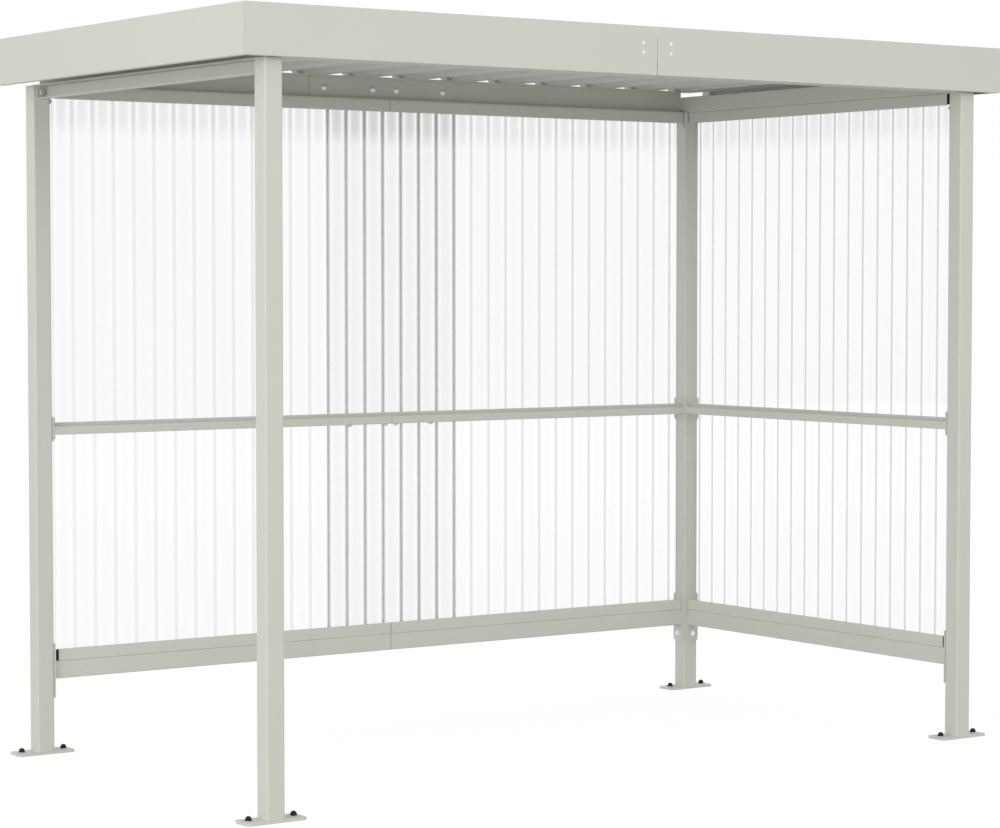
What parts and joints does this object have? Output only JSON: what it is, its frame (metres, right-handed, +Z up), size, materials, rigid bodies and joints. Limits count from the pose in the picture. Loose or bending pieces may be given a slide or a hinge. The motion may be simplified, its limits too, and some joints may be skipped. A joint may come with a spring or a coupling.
{
  "type": "smoking shelter",
  "caption": "Flat-roofed outdoor smoking shelter with a steel post frame, clear corrugated back and side walls, and a ribbed roof with a plain fascia.",
  "frame": {"origin": "on the ground under the middle of the roof's outline", "axes": "+X along the shelter from the open left side to the walled right side, +Y from the open front to the back wall, +Z up"},
  "size_m": [2.932, 1.592, 2.333],
  "materials": {
    "frame_paint": "satin powder coat, pale warm grey",
    "roof_paint": "satin coil coating, pale grey",
    "clear_sheet": "clear, smooth",
    "filler_foam": "matt black closed-cell foam"
  },
  "bodies": {
    "root": {"back_beam_left": "frame_paint", "back_beam_right": "frame_paint", "back_beam_splice": "frame_paint", "base_plate_back_left": "frame_paint", "base_plate_back_right": "frame_paint", "base_plate_front_left": "frame_paint", "base_plate_front_right": "frame_paint", "bottom_filler_back": "filler_foam", "bottom_filler_side": "filler_foam", "bottom_strip_back_left": "frame_paint", "bottom_strip_back_right": "frame_paint", "bottom_strip_side": "frame_paint", "fascia_cleats": "frame_paint", "front_beam_left": "frame_paint", "front_beam_right": "frame_paint", "front_beam_splice": "frame_paint", "front_fascia_joint_plate": "frame_paint", "front_fascia_left": "frame_paint", "front_fascia_right": "frame_paint", "left_beam": "frame_paint", "left_fascia": "frame_paint", "left_tie": "frame_paint", "lower_rail_back_left": "frame_paint", "lower_rail_back_right": "frame_paint", "lower_rail_side": "frame_paint", "middle_rail_back_left": "frame_paint", "middle_rail_back_right": "frame_paint", "middle_rail_side": "frame_paint", "middle_rail_splice": "frame_paint", "post_back_left": "frame_paint", "post_back_right": "frame_paint", "post_front_left": "frame_paint", "post_front_right": "frame_paint", "rail_end_plates": "frame_paint", "right_beam": "frame_paint", "right_fascia": "frame_paint", "roof_sheet_left": "roof_paint", "roof_sheet_middle": "roof_paint", "roof_sheet_right": "roof_paint", "top_filler_back": "filler_foam", "top_filler_side": "filler_foam", "top_strip_back_left": "frame_paint", "top_strip_back_right": "frame_paint", "top_strip_side": "frame_paint", "wall_sheet_back_left": "clear_sheet", "wall_sheet_back_right": "clear_sheet", "wall_sheet_side": "clear_sheet"}
  },
  "joints": []
}
